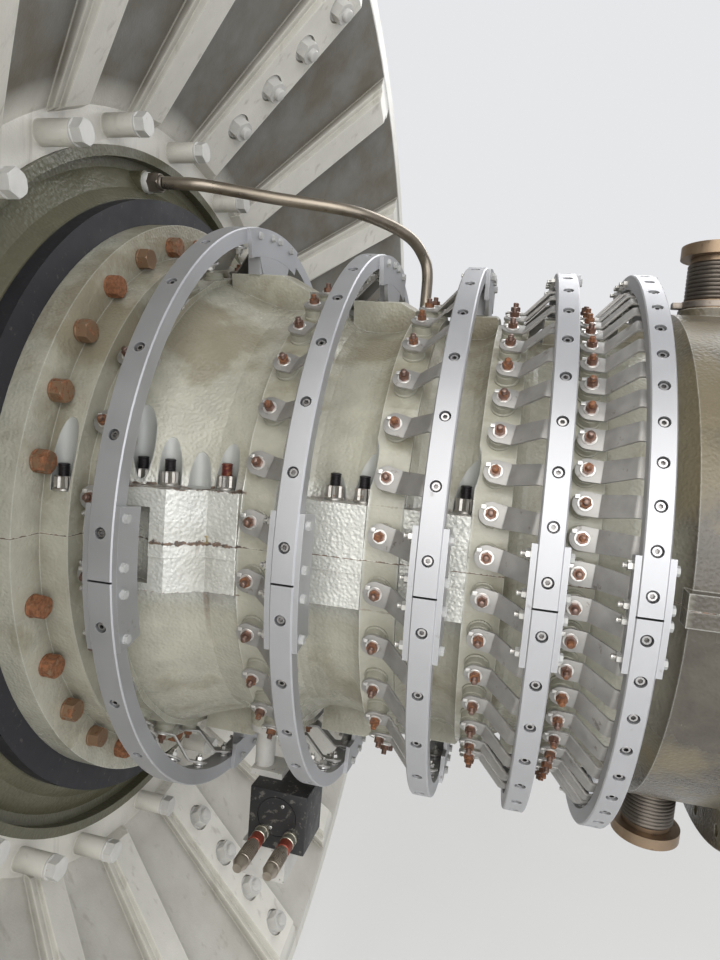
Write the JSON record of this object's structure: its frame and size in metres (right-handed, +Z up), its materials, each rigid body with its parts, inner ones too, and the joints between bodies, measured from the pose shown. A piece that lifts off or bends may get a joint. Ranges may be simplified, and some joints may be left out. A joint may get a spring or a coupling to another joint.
{
  "type": "gas turbine compressor section",
  "caption": "Axial compressor casing of a gas turbine with five turning rings that swing its adjustable vanes through cranked levers, on a ribbed intake wall.",
  "frame": {"origin": "centre of the intake dish's flat front face, on the turbine axis", "axes": "+X along the turbine axis from intake to rear flange, +Z up, split line at Z = 0"},
  "size_m": [0.825, 1.708, 1.708],
  "materials": {
    "casing_paint": "painted cast iron, pale grey green, stained",
    "seal_black": "matt black",
    "dish_primer": "olive primer on a casting",
    "wall_paint": "off-white paint on a casting",
    "vane_steel": "satin",
    "hub_paint": "grey primer",
    "rotor_steel": "oiled forged steel",
    "spindle_metal": "painted bush with a rusty threaded end",
    "lever_steel": "stainless sheet, bead blasted",
    "ring_alloy": "brushed",
    "plate_alloy": "brushed, with painted bolts",
    "guide_alloy": "brushed",
    "nozzle_bronze": "heat-stained steel",
    "pipe_steel": "heat-tinted stainless tube",
    "fitting_steel": "dark steel",
    "sensor_black": "worn black paint",
    "bracket_white": "white paint",
    "connector_metal": "dull nickel with a red sleeve"
  },
  "bodies": {
    "casing": {"casing_upper_half": "casing_paint", "casing_lower_half": "casing_paint", "seal_ring": "seal_black", "intake_dish": "dish_primer", "intake_wall_upper": "wall_paint", "intake_wall_lower": "wall_paint", "inlet_guide_vanes": "vane_steel", "front_hub": "hub_paint", "rotor_drum": "rotor_steel", "vane_spindles_1": "spindle_metal", "vane_spindles_2": "spindle_metal", "vane_spindles_3": "spindle_metal", "vane_spindles_4": "spindle_metal", "vane_spindles_5": "spindle_metal", "vane_levers_1": "lever_steel", "vane_levers_2": "lever_steel", "vane_levers_3": "lever_steel", "vane_levers_4": "lever_steel", "vane_levers_5": "lever_steel", "bleed_nozzles": "nozzle_bronze", "sealing_air_pipe": "pipe_steel", "pipe_fittings": "fitting_steel", "sensor_housing": "sensor_black", "sensor_bracket": "bracket_white", "sensor_connectors": "connector_metal"},
    "ring_1": {"unison_ring_1": "ring_alloy", "ring_1_splice_plates": "plate_alloy", "ring_1_guide_pads": "guide_alloy"},
    "ring_2": {"unison_ring_2": "ring_alloy", "ring_2_splice_plates": "plate_alloy", "ring_2_guide_pads": "guide_alloy"},
    "ring_3": {"unison_ring_3": "ring_alloy", "ring_3_splice_plates": "plate_alloy", "ring_3_guide_pads": "guide_alloy"},
    "ring_4": {"unison_ring_4": "ring_alloy", "ring_4_splice_plates": "plate_alloy", "ring_4_guide_pads": "guide_alloy"},
    "ring_5": {"unison_ring_5": "ring_alloy", "ring_5_splice_plates": "plate_alloy", "ring_5_guide_pads": "guide_alloy"}
  },
  "joints": [
    {"name": "ring_1_turn", "type": "hinge", "parent": "casing", "child": "ring_1", "pos_m": [0.1854, 0, 0], "axis": [-1, 0, 0], "range_deg": [-1.5, 8.5], "deforming": ["vane_levers_1"]},
    {"name": "ring_2_turn", "type": "hinge", "parent": "casing", "child": "ring_2", "pos_m": [0.3498, 0, 0], "axis": [-1, 0, 0], "range_deg": [-0.87, 4.9], "deforming": ["vane_levers_2"]},
    {"name": "ring_3_turn", "type": "hinge", "parent": "casing", "child": "ring_3", "pos_m": [0.4764, 0, 0], "axis": [-1, 0, 0], "range_deg": [-0.73, 4.1], "deforming": ["vane_levers_3"]},
    {"name": "ring_4_turn", "type": "hinge", "parent": "casing", "child": "ring_4", "pos_m": [0.5776, 0, 0], "axis": [-1, 0, 0], "range_deg": [-0.56, 3.15], "deforming": ["vane_levers_4"]},
    {"name": "ring_5_turn", "type": "hinge", "parent": "casing", "child": "ring_5", "pos_m": [0.66, 0, 0], "axis": [-1, 0, 0], "range_deg": [-0.27, 1.46], "deforming": ["vane_levers_5"]}
  ],
  "couplings": [
    {"joint": "ring_2_turn", "follows": "ring_1_turn", "ratio": 0.575},
    {"joint": "ring_3_turn", "follows": "ring_1_turn", "ratio": 0.481},
    {"joint": "ring_4_turn", "follows": "ring_1_turn", "ratio": 0.369},
    {"joint": "ring_5_turn", "follows": "ring_1_turn", "ratio": 0.171}
  ]
}
